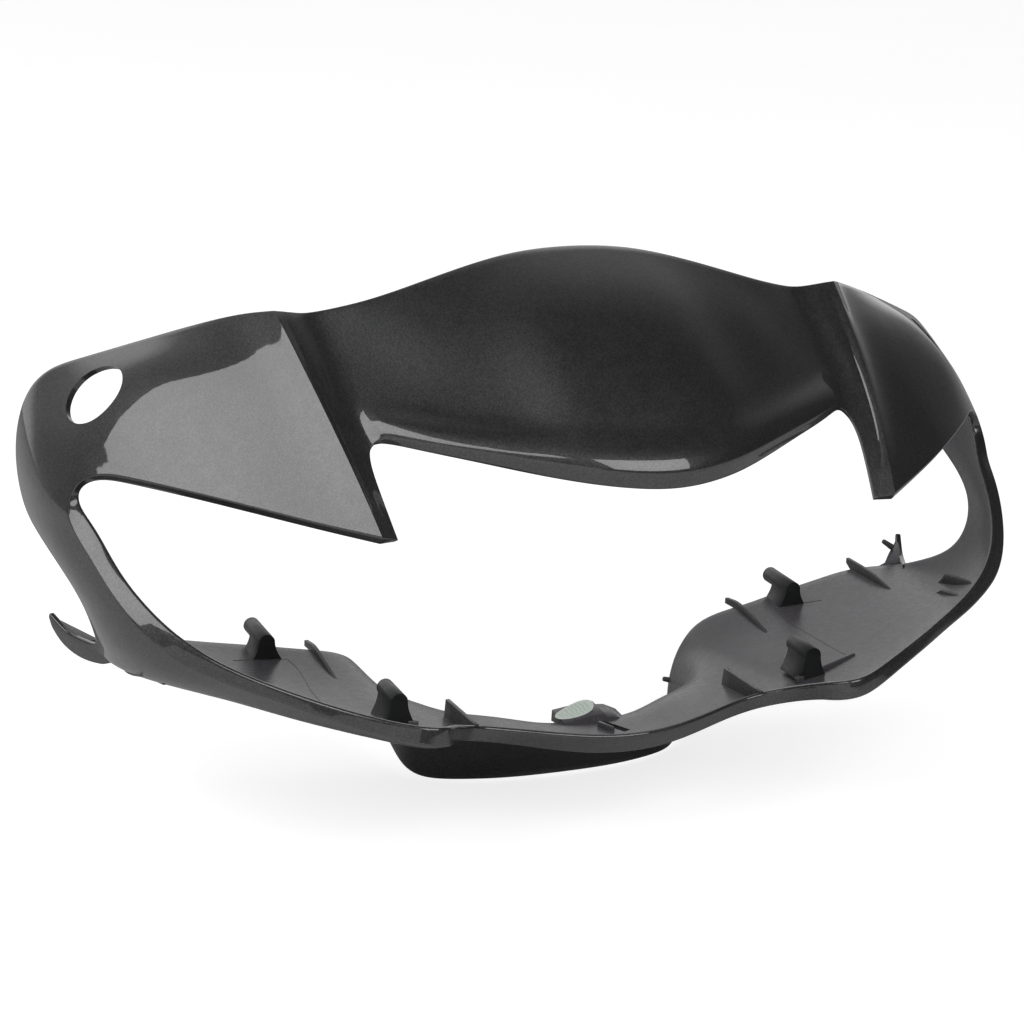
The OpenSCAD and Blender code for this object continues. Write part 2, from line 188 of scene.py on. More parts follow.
def from_bmesh(name, bm, materials):
    bmesh.ops.recalc_face_normals(bm, faces=bm.faces[:])
    mesh = bpy.data.meshes.new(name)
    bm.to_mesh(mesh)
    bm.free()
    return add_object(name, mesh, materials)


def face_outward(obj):
    bm = bmesh.new()
    bm.from_mesh(obj.data)
    bmesh.ops.recalc_face_normals(bm, faces=bm.faces[:])
    bm.to_mesh(obj.data)
    bm.free()
    return obj


def settle(obj):
    """Apply the object's modifiers to its mesh."""
    bpy.context.view_layer.update()
    graph = bpy.context.evaluated_depsgraph_get()
    mesh = bpy.data.meshes.new_from_object(obj.evaluated_get(graph), depsgraph=graph)
    obj.modifiers.clear()
    obj.data = mesh
    return obj


def carve(obj, cutters, operation="DIFFERENCE"):
    for cutter in cutters:
        m = obj.modifiers.new("carve", "BOOLEAN")
        m.operation, m.solver, m.object = operation, "EXACT", cutter
    settle(obj)
    for cutter in cutters:
        bpy.data.objects.remove(cutter)
    return obj


def smooth(obj, angle=40):
    obj.data.shade_smooth()
    obj.data.set_sharp_from_angle(angle=radians(angle))
    return obj


def soften(obj, width, segments=2):
    """Round the sharp edges of a moulded piece, width in mm, and shade it smooth."""
    m = obj.modifiers.new("round", "BEVEL")
    m.width, m.segments, m.limit_method, m.angle_limit = width * MM, segments, "ANGLE", radians(35)
    return smooth(settle(obj))


def both(make, name, *args):
    """A piece on the right and its twin on the other side of the mirror plane."""
    right = make(name + "_right", *args)
    mesh = right.data.copy()
    mesh.transform(Matrix.Scale(-1, 4, (1, 0, 0)))
    mesh.flip_normals()
    return [right, add_object(name + "_left", mesh)]


# ---------------------------------------------------------------- curves
def lengths(v):
    return np.linalg.norm(v, axis=-1, keepdims=True)


def unit(v):
    return v / np.maximum(lengths(v), 1e-9)


def slope(a, b, c):
    """Direction at b of the line through a, b and c."""
    return (c - a) / np.maximum(lengths(b - a) + lengths(c - b), 0.01)


def span(b, c, mb, mc, t):
    """Cubic from b to c with the end tangents mb and mc."""
    t2, t3 = t * t, t * t * t
    return ((2 * t3 - 3 * t2 + 1) * b + (t3 - 2 * t2 + t) * mb
            + (3 * t2 - 2 * t3) * c + (t3 - t2) * mc)


def fair(points, steps=5):
    """Smooth open line through 2-D points."""
    p = np.array(points, float)
    out = []
    for i in range(len(p) - 1):
        a, b, c, d = p[max(i - 1, 0)], p[i], p[i + 1], p[min(i + 2, len(p) - 1)]
        s = lengths(c - b)
        start, end = slope(a, b, c) * s, slope(b, c, d) * s
        out += [span(b, c, start, end, k / steps) for k in range(steps)]
    return out + [p[-1]]


# ---------------------------------------------------------------- shell
# the visor's lip as it rolls over: station, free edge, ridge
VISOR_LIP = [
    (0, [0, -109.2, 38.4], [0, -110.3, 44.9]),
    (1, [26.4, -102.6, 39.9], [27, -103.6, 46.3]),
    (2, [49.8, -88, 42.3], [50.3, -88.8, 48.2]),
    (3, [68.6, -75.5, 45.2], [69.5, -75.8, 50.2]),
    (4, [85.6, -64.5, 47.7], [86.8, -63.8, 51.6]),
    (5, [97.2, -54.5, 49.2], [98.3, -53.5, 52]),
]
LIP_ROUND, EDGE_ROUND = 4.5, 0.9  # radius of the ridge at the visor's lip and elsewhere, mm
ROLL_SLOPE, ROLL_WIDE = 0.52, 22  # how steeply the visor's skin rolls over, and how far up in mm
PITCH = 2.4  # along the ring, mm
SKIN_STEPS, ROLL_STEPS, ROLL_SPANS = 8, 4, 4  # grid steps to a span of skin, finer above the lip
RELAX_ROUNDS = 30
FLANGE_SHARE, SKIN_SHARE = 0.6, 0.8  # the most that the round of the ridge takes of its two sides
RIDGE_POINTS, END_POINTS = 7, 5
PAINTED_END = 3  # points of a rounded end that the paint reaches
RIDGE = 2  # column of the ridge in a grid of the skin, whose rows go round the ring


def ring_rows():
    """The five guide lines sampled round the whole ring, with each row's wall and its roundness."""
    half = np.array([s[:5] for s in STATIONS], float)
    marks = np.array([s[5] if len(s) == 6 else [0, 1] for s in STATIONS], float)
    rolled = np.zeros(len(half))
    for i, edge, ridge in VISOR_LIP:
        half[i, 0], half[i, 1], rolled[i] = edge, ridge, 1
    ring = np.concatenate([half, half[-2:0:-1] * [-1, 1, 1]])
    marks = np.concatenate([marks, marks[-2:0:-1]])
    rolled = np.concatenate([rolled, rolled[-2:0:-1]])
    n = len(ring)
    rows, walls, held, radius = [], [], [], []
    for i in range(n):
        a, b, c, d = (ring[(i + k) % n] for k in (-1, 0, 1, 2))
        s = lengths(c - b)
        mb = c - b if marks[i, 0] else slope(a, b, c) * s
        mc = c - b if marks[(i + 1) % n, 0] else slope(b, c, d) * s
        steps = ceil(float(s.max()) / PITCH)
        for k in range(steps):
            t = k / steps
            rows.append(span(b, c, mb, mc, t))
            walls.append(WALL * (marks[i, 1] * (1 - t) + marks[(i + 1) % n, 1] * t))
            held.append(k == 0 and marks[i, 0] == 1)
            roll = rolled[i] * (1 - t) + rolled[(i + 1) % n] * t
            radius.append(EDGE_ROUND + (LIP_ROUND - EDGE_ROUND) * roll)
    return np.array(rows), np.array(walls), np.array(held), np.array(radius)


def skin_grid(rows):
    """Points across the band: free edge, half way, ridge, then the skin to the rim."""
    q = rows.transpose(1, 0, 2)
    m1, m2 = slope(q[1], q[2], q[3]), slope(q[2], q[3], q[4])
    out = [q[0], (q[0] + q[1]) / 2]
    for k in (1, 2, 3):
        chord = q[k + 1] - q[k]
        c = lengths(chord)
        start = chord if k == 1 else (m1 if k == 2 else m2) * c
        end = chord if k == 3 else (m1 if k == 1 else m2) * c
        out += [span(q[k], q[k + 1], start, end, s / SKIN_STEPS) for s in range(SKIN_STEPS)]
    out.append(q[4])
    return np.array(out).transpose(1, 0, 2)


def relax(grid, held):
    """Even out the curvature; the fang's crease, the ridge and both edges keep their lines."""
    grid = grid.copy()
    last = grid.shape[1] - 1
    lines = [0, 1, RIDGE, last]
    for _ in range(RELAX_ROUNDS):
        along = (np.roll(grid, 1, 0) + np.roll(grid, -1, 0)) / 2
        across = grid.copy()
        across[:, RIDGE + 1:last] = (grid[:, RIDGE:last - 1] + grid[:, RIDGE + 2:last + 1]) / 2
        target = (along + across) / 2
        target[:, lines] = along[:, lines]
        target[held] = across[held]
        target[np.ix_(held, lines)] = grid[np.ix_(held, lines)]
        grid = grid + 0.5 * (target - grid)
    return grid


def outward_normals(grid):
    along = np.roll(grid, -1, 0) - np.roll(grid, 1, 0)
    across = np.empty_like(grid)
    across[:, 1:-1] = grid[:, 2:] - grid[:, :-2]
    across[:, 0] = grid[:, 1] - grid[:, 0]
    across[:, -1] = grid[:, -1] - grid[:, -2]
    normal = unit(np.cross(unit(across), unit(along)))
    # at the rim of the visor, the top of the shell, outward is up
    return -normal if normal[0, -2, 2] < 0 else normal


def roll_over(grid, rolled):
    """Let the skin of the visor roll over the last millimetres above the lip."""
    parts, end = [grid[:, :RIDGE + 1]], RIDGE + ROLL_SPANS
    for j in range(RIDGE, end):
        a, b, c, d = grid[:, max(j - 1, RIDGE)], grid[:, j], grid[:, j + 1], grid[:, j + 2]
        s = lengths(c - b)
        mb, mc = slope(a, b, c) * s, slope(b, c, d) * s
        steps = [span(b, c, mb, mc, k / ROLL_STEPS) for k in range(1, ROLL_STEPS + 1)]
        parts.append(np.array(steps).transpose(1, 0, 2))
    grid = np.concatenate(parts + [grid[:, end + 1:]], axis=1)
    normal = outward_normals(grid)
    normal[:, :RIDGE + 2] = normal[:, RIDGE + 2:RIDGE + 3]
    far = np.zeros(grid.shape[:2] + (1,))
    far[:, RIDGE + 1:] = np.cumsum(lengths(np.diff(grid[:, RIDGE:], axis=1)), axis=1)
    lift = ROLL_SLOPE * far * np.maximum(1 - far / ROLL_WIDE, 0) ** 2
    return grid + normal * lift * rolled[:, None, None]


def round_ridge(grid, radius):
    """Replace the ridge by a round that the flange and the skin's first step leave room for."""
    ridge, edge = grid[:, RIDGE], grid[:, 0]
    flange, skin = edge - ridge, grid[:, RIDGE + 1] - ridge
    r = radius[:, None]
    a = ridge + unit(flange) * np.minimum(r, FLANGE_SHARE * lengths(flange))
    b = ridge + unit(skin) * np.minimum(r, SKIN_SHARE * lengths(skin))
    arc = [(1 - t) ** 2 * a + 2 * t * (1 - t) * ridge + t * t * b
           for t in np.linspace(0, 1, RIDGE_POINTS)]
    front = np.array([edge, (edge + a) / 2] + arc).transpose(1, 0, 2)
    return np.concatenate([front, grid[:, RIDGE + 1:]], axis=1)


def build_shell(painted, bare_inside):
    """One closed mesh: a loop across the wall, carried round the ring."""
    rows, walls, held, radius = ring_rows()
    rolled = (radius - EDGE_ROUND) / (LIP_ROUND - EDGE_ROUND)
    grid = round_ridge(roll_over(relax(skin_grid(rows), held), rolled), radius)
    normal = outward_normals(grid)
    half = walls[:, None] / 2
    first, last = unit(grid[:, 0] - grid[:, 1]), unit(grid[:, -1] - grid[:, -2])
    grid[:, 0] -= first * half
    grid[:, -1] -= last * half
    inner = grid - normal * walls[:, None, None]

    def rounded_end(column, way):
        middle = (grid[:, column] + inner[:, column]) / 2
        return [middle + half * (normal[:, column] * cos(a) + way * sin(a))
                for a in np.linspace(0, pi, END_POINTS + 2)[1:-1]]

    n = grid.shape[1]
    loop = [grid[:, j] for j in range(n)] + rounded_end(n - 1, last)
    loop += [inner[:, j] for j in range(n - 1, -1, -1)] + rounded_end(0, first)[::-1]
    loop = np.array(loop)
    m, r = loop.shape[:2]
    verts = place(loop.transpose(1, 0, 2).reshape(-1, 3))
    faces, indices = [], []
    for i in range(r):
        row, next_row = i * m, (i + 1) % r * m
        for j in range(m):
            k = (j + 1) % m
            faces.append((row + j, row + k, next_row + k, next_row + j))
            indices.append(0 if j < n + PAINTED_END or j >= m - PAINTED_END else 1)
    return face_outward(from_lists("cowl_shell", verts, faces, [painted, bare_inside], indices))


# ---------------------------------------------------------------- shapes of the fittings
def cylinder(name, start, end, r1, r2, sides=48, materials=()):
    """Cylinder or cone between two scene points, radii in mm."""
    start, end = Vector(start), Vector(end)
    bm = bmesh.new()
    bmesh.ops.create_cone(bm, cap_ends=True, segments=sides, radius1=r1 * MM, radius2=r2 * MM,
                          depth=(end - start).length)
    turn = (end - start).to_track_quat("Z", "Y").to_matrix().to_4x4()
    bm.transform(Matrix.Translation((start + end) / 2) @ turn)
    return from_bmesh(name, bm, materials)


def prism(name, outline, depth, matrix, materials):
    """Outline in mm, drawn in the local XY plane and extruded along local Z."""
    bm = bmesh.new()
    face = bm.faces.new([bm.verts.new((x * MM, y * MM, 0)) for x, y in outline])
    grown = bmesh.ops.extrude_face_region(bm, geom=[face])["geom"]
    top = [v for v in grown if isinstance(v, bmesh.types.BMVert)]
    bmesh.ops.translate(bm, verts=top, vec=(0, 0, depth * MM))
    bm.transform(matrix)
    return from_bmesh(name, bm, materials)


def box(name, centre, turn, size, materials):
    """Box round a net point, turned about Z by degrees, its size in mm."""
    bm = bmesh.new()
    bmesh.ops.create_cube(bm, size=1)
    bm.transform(Matrix.Translation(place(centre)) @ Matrix.Rotation(radians(turn), 4, "Z")
                 @ Matrix.Diagonal((size[0] * MM, size[1] * MM, size[2] * MM, 1)))
    return from_bmesh(name, bm, materials)


def pin(name, start, end, d, materials):
    """Tapering peg between two net points."""
    peg = cylinder(name, place(start), place(end), d / 2, 0.35 * d, 32, materials)
    return soften(peg, 0.6, segments=3)


def bar(name, start, end, w, up_by, down_by, materials):
    """Low wall between two net points, w thick."""
    a, b = Vector(place(start)), Vector(place(end))
    ahead = (b - a).normalized()
    side = Vector((0, 0, 1)).cross(ahead).normalized()
    up = ahead.cross(side)
    length = (b - a).length / MM
    stand = Matrix((ahead, up, -side)).transposed().to_4x4()
    stand.translation = a + side * w / 2 * MM
    outline = [(0, -down_by), (length, -down_by), (length, up_by), (0, up_by)]
    return soften(prism(name, outline, w, stand, materials), 0.6, segments=3)


def rib(name, x, upper, lower, materials):
    """Thin rib across X; both long edges are faired lines of [y, z] net points."""
    base = place([x - RIB_T / 2, 0, 0])
    stand = Matrix(((0, 0, 1, base[0]), (1, 0, 0, base[1]), (0, 1, 0, base[2]), (0, 0, 0, 1)))
    return soften(prism(name, fair(upper) + fair(lower), RIB_T, stand, materials), 0.45)


# start and end as net points and thickness; for the bar also its height above and below
PRONG = [196.5, 59.5, -53], [191.3, 60, -49.4], 3
NECK_TAB = [74, 33, -98], [67.5, 35, -96.6], 3
FLOOR_BAR = [84, -59.5, -65], [118.3, -47, -61.6], 2, 0.8, 2.6
# name, x, upper edge and lower edge of each pair of ribs
RIBS = [
    ("tongue_inner", 100, [[-14, -67.3], [0, -65.2], [14, -62.8], [28, -61], [39.5, -62.3]],
     [[39.5, -65], [28, -64.5], [14, -66], [0, -67.6]]),
    ("tongue_outer", 168.5, [[6, -56.6], [18, -54.8], [32, -53.2], [52, -53.2]],
     [[52, -55.7], [46, -58], [20, -57.5]]),
    ("fin", 63, [[-69.5, -64.5], [-35.5, -66]],
     [[-34.5, -72], [-34.5, -75.5], [-55, -73.5], [-68.5, -71]]),
    ("catch_upper", 187.5, [[-32, -41.6], [-18, -43.2], [-4, -45.4]],
     [[-2.5, -47.8], [2, -52.4], [-1, -53], [-12, -50.6], [-25, -46.6]]),
    ("catch_lower", 179.5, [[-31, -46.2], [-15, -48.6]],
     [[-11, -51.2], [-12, -52.6], [-20, -51.4], [-31, -48.8]]),
]
# name, centre of the closed front end, length of the tube, depth and height of the foot
BOSSES = [
    ("boss_rear", [123.2, 19.7, -54.5], 23.5, 14, 8.5),
    ("boss_front", [92, -59, -55.5], 18, 16, 10.5),
]
BOSS_FLARE = 3.4  # how much wider the foot is than the tube, on each side


def boss(name, front, tube_l, foot_l, foot_h, materials):
    spot = Vector(place(front))
    back = spot + Vector((0, tube_l * MM, 0))
    tube = cylinder(name, spot, back, BOSS_D / 2, BOSS_D / 2, 64, materials)
    side = [(BOSS_D / 2 + BOSS_FLARE * (1 - cos(pi / 2 * u)), -foot_h * u)
            for u in np.linspace(0, 1, 9)]
    outline = side + [(-x, z) for x, z in side[::-1]]
    level = Matrix(((1, 0, 0, spot.x), (0, 0, 1, spot.y), (0, 1, 0, spot.z), (0, 0, 0, 1)))
    carve(tube, [prism("foot", outline, foot_l, level, materials)], "UNION")
    bore_start, bore_end = back - Vector((0, PILOT_DEEP * MM, 0)), back + Vector((0, MM, 0))
    carve(tube, [cylinder("bore", bore_start, bore_end, PILOT_D / 2, PILOT_D / 2)])
    return soften(tube, 0.5)


# the horn's outline as [along the horn, z] from HORN_AT, and its turn from +Y towards +X
HORN_AT, HORN_TURN = [193, 43, 0], atan2(0.44, 1)
HORN_TOP = [[-6, -54], [0, -54.6], [12.5, -54.2], [19.4, -52], [26.6, -48.9]]
HORN_FOOT = [[27, -50.9], [24.3, -55.3], [16.3, -60.6], [4.7, -63], [-9, -62], [-16, -59.5]]


def horn(name, materials):
    spot = place(HORN_AT)
    way, side = (sin(HORN_TURN), cos(HORN_TURN)), (cos(HORN_TURN), -sin(HORN_TURN))
    base = [spot[k] - HORN_T / 2 * MM * side[k] for k in (0, 1)]
    stand = Matrix(((way[0], 0, side[0], base[0]), (way[1], 0, side[1], base[1]),
                    (0, 1, 0, spot[2]), (0, 0, 0, 1)))
    outline = fair(HORN_TOP) + fair(HORN_FOOT)
    return soften(prism(name, outline, HORN_T, stand, materials), 0.7, segments=3)


# net points of the web from the rim of the floor up to the edge of the horn
WEB_EDGE = [[180, 47.5, -59.5], [188, 49.5, -57.3], [194, 56.5, -55.2], [201.5, 63.8, -52]]
WEB_ROOT = [[189.5, 42, -58.8], [195.5, 50.5, -60.5]]
WEB_SIDE = [[194.5, 47, -56.5], [198.5, 56, -55.6], [201.5, 62, -53.5]]


def web(name, materials):
    """Three hulls of small balls, as thick as a rib."""
    whole = bmesh.new()
    for points in (WEB_EDGE[:2] + WEB_ROOT, WEB_EDGE[1:] + WEB_ROOT[1:], WEB_EDGE[1:] + WEB_SIDE):
        bm = bmesh.new()
        for p in points:
            bmesh.ops.create_icosphere(bm, subdivisions=2, radius=RIB_T / 2 * MM,
                                       matrix=Matrix.Translation(place(p)))
        hull = bmesh.ops.convex_hull(bm, input=bm.verts[:])
        buried = set(hull["geom_interior"] + hull["geom_unused"])
        bmesh.ops.delete(bm, geom=list(buried), context="VERTS")
        mesh = bpy.data.meshes.new("hull")
        bm.to_mesh(mesh)
        bm.free()
        whole.from_mesh(mesh)
        bpy.data.meshes.remove(mesh)
    return smooth(from_bmesh(name, whole, materials), 60)


# low step at the rear of the central floor: origin, outline as [x, z] and depth from the rear
STEP_AT = place([-2, -29, -77])
ON_STEP = Matrix.Translation(STEP_AT) @ Matrix.Rotation(radians(3), 4, "X")
STEP_OUTLINE = [(0, 0), (6.5, 0.3), (7.5, -1.2), (11.5, -1.6), (17.5, -4.5), (17.5, -12),
                (-11.9, -12), (-11.9, -1.67)]
STEP_DEEP = 14
# plane inside the floor's wall, where the step ends: net point and tilt in degrees
UNDER_AT, UNDER_TILT = [-4, -40, -82.5], -6.7
# cut and guide beside the step
SLOT_AT, SLOT_TURN, SLOT_SIZE = [4.6, -52, -79], 20, [3.6, 16, 8]
GUIDE_OFF, GUIDE_SIZE = -4.6, [1.6, 9, 3]


def step(name, materials):
    stand = ON_STEP @ Matrix.Rotation(radians(90), 4, "X")
    obj = prism(name, STEP_OUTLINE, STEP_DEEP, stand, materials)
    bm = bmesh.new()
    bm.from_mesh(obj.data)
    upward = Matrix.Rotation(radians(UNDER_TILT), 3, "X") @ Vector((0, 0, 1))
    cut = bmesh.ops.bisect_plane(bm, geom=bm.verts[:] + bm.edges[:] + bm.faces[:],
                                 plane_co=place(UNDER_AT), plane_no=upward, clear_inner=True)
    rim = [e for e in cut["geom_cut"] if isinstance(e, bmesh.types.BMEdge)]
    bmesh.ops.contextual_create(bm, geom=rim)
    bmesh.ops.recalc_face_normals(bm, faces=bm.faces[:])
    bm.to_mesh(obj.data)
    bm.free()
    return soften(obj, 0.5)


def slot_guide(name, materials):
    off = Matrix.Rotation(radians(SLOT_TURN), 3, "Z") @ Vector((GUIDE_OFF * MM, 0, 0))
    centre = np.array(Vector(place(SLOT_AT)) + off) / MM + MIDDLE
    return soften(box(name, centre, SLOT_TURN, GUIDE_SIZE, materials), 0.4)


# the sticker lies on the step's left flank: tilt of the flank and turn of the sticker in
# degrees, and how far its middle is to the left of the step's origin and before it, mm
FLANK_TILT, STICKER_TURN, STICKER_IN = 8, 8, (4.5, 7)
STICKER_FRAME = (ON_STEP @ Matrix.Rotation(radians(-FLANK_TILT), 4, "Y")
                 @ Matrix.Translation((-STICKER_IN[0] * MM, -STICKER_IN[1] * MM, 0))
                 @ Matrix.Rotation(radians(STICKER_TURN), 4, "Z"))
STICKER_RINGS, STICKER_SIDES = 10, 72
FILM_T, FILM_GAP, FILM_CURL = 0.12, 0.08, 1.3  # its thickness, gap to the step and curl, mm


def film_height(x, y):
    """Underside of the film: stuck down at the front left, its right rear edge lifting."""
    lift = max(0.0, (0.55 * y + 0.5 * x + 1) / (STICKER_W / 2))
    return FILM_GAP + FILM_CURL * lift ** 2


def sticker(materials):
    rings, sides = STICKER_RINGS, STICKER_SIDES
    flat = [(0.0, 0.0)]
    for r in range(1, rings + 1):
        for k in range(sides):
            a = 2 * pi * k / sides
            flat.append((STICKER_L / 2 * r / rings * cos(a), STICKER_W / 2 * r / rings * sin(a)))
    n = len(flat)
    verts = [(x, y, film_height(x, y) + FILM_T) for x, y in flat]
    verts += [(x, y, film_height(x, y)) for x, y in flat]
    faces = []
    for k in range(sides):
        j = (k + 1) % sides
        faces.append((0, 1 + k, 1 + j))
        faces.append((n, n + 1 + j, n + 1 + k))
        for r in range(rings - 1):
            a, b = 1 + r * sides, 1 + (r + 1) * sides
            faces.append((a + k, b + k, b + j, a + j))
            faces.append((n + a + j, n + b + j, n + b + k, n + a + k))
        rim = 1 + (rings - 1) * sides
        faces.append((rim + k, n + rim + k, n + rim + j, rim + j))
    verts = [STICKER_FRAME @ (Vector(v) * MM) for v in verts]
    return smooth(from_lists("sticker_oval", verts, faces, materials))


# mould lines on the floor as [x, y] net points, and their section as (across, up) in mm
SEAMS = [
    [(138, 19), (131, 19.8), (123, 19.9), (114.3, 19.6)],
    [(114.3, 19.6), (113, 6), (115, -17), (115.6, -46)],
]
SEAM_SECTION = ((-0.22, -0.3), (-0.1, 0.14), (0.1, 0.14), (0.22, -0.3))
ABOVE_FLOOR = -45  # a level between the floor and the wings
MIRROR_REACH = 12  # how far a mirror cutter goes to each side of the skin, mm


def seam_lines(name, shell, materials):
    """Fine raised mould lines on the floor, round the rear screw bosses."""
    mesh = shell.data
    tree = BVHTree.FromPolygons([v.co for v in mesh.vertices], [p.vertices for p in mesh.polygons])
    verts, faces, m = [], [], len(SEAM_SECTION)
    for side in (1, -1):
        for line in SEAMS:
            spots = []
            for x, y in fair(line, 10):
                above = Vector(place([x * side, y, ABOVE_FLOOR]))
                hit = tree.ray_cast(above, Vector((0, 0, -1)))[0]
                if hit is not None:
                    spots.append(hit)
            start = len(verts)
            for i, spot in enumerate(spots):
                ahead = spots[min(i + 1, len(spots) - 1)] - spots[max(i - 1, 0)]
                out = Vector((ahead.y, -ahead.x, 0)).normalized()
                for w, h in SEAM_SECTION:
                    verts.append(spot + out * w * MM + Vector((0, 0, h * MM)))
            for i in range(len(spots) - 1):
                for j in range(m):
                    a, b = start + m * i + j, start + m * i + (j + 1) % m
                    faces.append((a, b, b + m, a + m))
            end = start + m * (len(spots) - 1)
            faces.append([start + j for j in reversed(range(m))])
            faces.append([end + j for j in range(m)])
    return smooth(face_outward(from_lists(name, verts, faces, materials)))


def shell_cutters(materials):
    """The mirror holes and the slot beside the step."""
    reach = Vector(MIRROR_AXIS).normalized() * MIRROR_REACH * MM
    x, y, z = MIRROR_AT
    cutters = []
    for side in (1, -1):
        spot, way = Vector(place([x * side, y, z])), Vector((reach.x * side, reach.y, reach.z))
        cutters.append(cylinder("mirror_cut", spot - way, spot + way, MIRROR_D / 2, MIRROR_D / 2,
                                128, materials))
    cutters.append(box("slot_cut", SLOT_AT, SLOT_TURN, SLOT_SIZE, materials))
    return cutters


# ---------------------------------------------------------------- materials
class Nodes:
    """Small helper for filling one node tree."""

    def __init__(self, tree):
        self.tree = tree

    def feed(self, socket, value):
        """Link another node's output to a socket, or set a plain value on it."""
        if isinstance(value, bpy.types.NodeSocket):
            self.tree.links.new(value, socket)
        else:
            socket.default_value = value

    def add(self, kind, inputs=None, **settings):
        node = self.tree.nodes.new("ShaderNode" + kind)
        for k, v in settings.items():
            setattr(node, k, v)
        for k, v in (inputs or {}).items():
            self.feed(node.inputs[k], v)
        return node

    def ramp(self, factor, low, high, colours=((0, 0, 0, 1), (1, 1, 1, 1)), between=()):
        node = self.add("ValToRGB", {0: factor})
        stops = node.color_ramp.elements
        stops[0].position, stops[1].position = low, high
        stops[0].color, stops[1].color = colours
        for position, colour in between:
            stops.new(position).color = colour
        return node.outputs[0]

    def mix(self, factor, a, b):
        """Mix of two colours."""
        return self.add("Mix", {0: factor, 6: a, 7: b}, data_type="RGBA").outputs[2]

    def larger(self, a, b):
        return self.add("Math", {0: a, 1: b}, operation="MAXIMUM").outputs[0]


class Surface(Nodes):
    """A new material whose textures sit in object space."""

    def __init__(self, name):
        self.material = bpy.data.materials.new(name)
        self.material.use_nodes = True
        super().__init__(self.material.node_tree)
        self.shader = self.tree.nodes["Principled BSDF"]
        self.where = self.add("TexCoord").outputs["Object"]

    def noise(self, scale, detail=2.0, rough=0.5):
        node = self.add("TexNoise", {"Vector": self.where, "Scale": scale, "Detail": detail,
                                     "Roughness": rough})
        return node.outputs["Fac"]

    def cells(self, scale):
        return self.add("TexVoronoi", {"Vector": self.where, "Scale": scale}, feature="F1")

    def bump(self, strength, height):
        node = self.add("Bump", {"Strength": strength, "Distance": 0.0002, "Height": height})
        return node.outputs[0]

    def set(self, **values):
        """Feed the shader's sockets; Base_Color stands for Base Color."""
        for k, v in values.items():
            self.feed(self.shader.inputs[k.replace("_", " ")], v)


def grey(v, r=1.0, g=1.0, b=1.0):
    return (v * r, v * g, v * b, 1)


def uneven(surface, scale, detail, low, high):
    """Roughness that wanders between two values."""
    return surface.ramp(surface.noise(scale, detail), 0.3, 0.7, (grey(low), grey(high)))


def paint():
    """Dark grey metallic paint: fine flake under a clear coat, with a trace of orange peel."""
    s = Surface("metallic_grey_paint")
    flake = s.cells(1900)
    tint = s.ramp(flake.outputs["Color"], 0.25, 0.95, (grey(0.034), grey(0.16, 1, 1, 1.03)))
    cloud = s.ramp(s.noise(38, 3), 0.35, 0.7, (grey(0.064, 1, 1, 1.02), grey(0.074, 1, 1, 1.02)))
    s.set(Base_Color=s.mix(0.35, cloud, tint), Metallic=0.75,
          Roughness=uneven(s, 160, 2, 0.36, 0.44),
          Normal=s.bump(0.25, flake.outputs["Distance"]), Coat_Weight=1.0, Coat_Roughness=0.035,
          Coat_IOR=1.8, Coat_Normal=s.bump(0.06, s.noise(230, 1)))
    return s.material


def bare(name, low, high, rough, specks):
    """Satin moulded plastic with a fine grain and, where asked for, a few dark specks."""
    s = Surface(name)
    colour = s.ramp(s.noise(22, 4, 0.6), 0.3, 0.7, (low, high))
    if specks:
        clear = s.ramp(s.cells(95).outputs["Distance"], 0.03, 0.05)
        dark = tuple(0.25 * c for c in low[:3]) + (1,)
        colour = s.mix(clear, dark, colour)
    s.set(Base_Color=colour, Roughness=uneven(s, 300, 3, *rough),
          Normal=s.bump(0.18, s.noise(1400, 2)))
    return s.material


def paper():
    """Pale green-white film: faint strokes inside a plain border, no lettering."""
    s = Surface("sticker_film")
    oval = s.add("Mapping", {"Vector": s.where, "Location": STICKER_FRAME.to_translation(),
                             "Rotation": STICKER_FRAME.to_euler(),
                             "Scale": (STICKER_L / 2 * MM, STICKER_W / 2 * MM, 1)},
                 vector_type="TEXTURE").outputs[0]
    ring = s.add("TexGradient", {"Vector": oval}, gradient_type="SPHERICAL")
    strokes = s.add("TexWave", {"Vector": oval, "Scale": 1.6, "Distortion": 5.0, "Detail": 1.0})
    inside = s.ramp(ring.outputs["Fac"], 0.16, 0.24)
    marks = s.ramp(strokes.outputs["Fac"], 0.62, 0.7)
    print_mask = s.add("Math", {0: inside, 1: marks}, operation="MULTIPLY").outputs[0]
    s.set(Base_Color=s.mix(print_mask, (0.8, 0.87, 0.8, 1), (0.6, 0.74, 0.62, 1)),
          Roughness=uneven(s, 500, 2, 0.35, 0.5))
    return s.material


# ---------------------------------------------------------------- stage and lights
FLOOR_HALF, FLOOR_BELOW = 6, 0.0006  # half width, and how far below the part it lies, m
FLOOR_GLOW = 0.78  # added only where the camera looks at the floor, so that it reads white
WHITE = (1, 1, 1, 1)


def floor_material():
    s = Surface("pale_floor")
    s.set(Roughness=0.9, Specular_IOR_Level=0.1,
          Base_Color=s.ramp(s.noise(3, 2), 0.3, 0.7, (grey(0.52), grey(0.54))))
    light = s.add("LightPath").outputs
    seen = s.larger(light["Is Camera Ray"], light["Is Transmission Ray"])
    lit = s.shader.outputs[0]
    glow = s.add("Emission", {"Color": WHITE, "Strength": FLOOR_GLOW}).outputs[0]
    glowing = s.add("AddShader", {0: lit, 1: glow}).outputs[0]
    shown = s.add("MixShader", {0: seen, 1: lit, 2: glowing}).outputs[0]
    s.feed(s.tree.nodes["Material Output"].inputs["Surface"], shown)
    return s.material


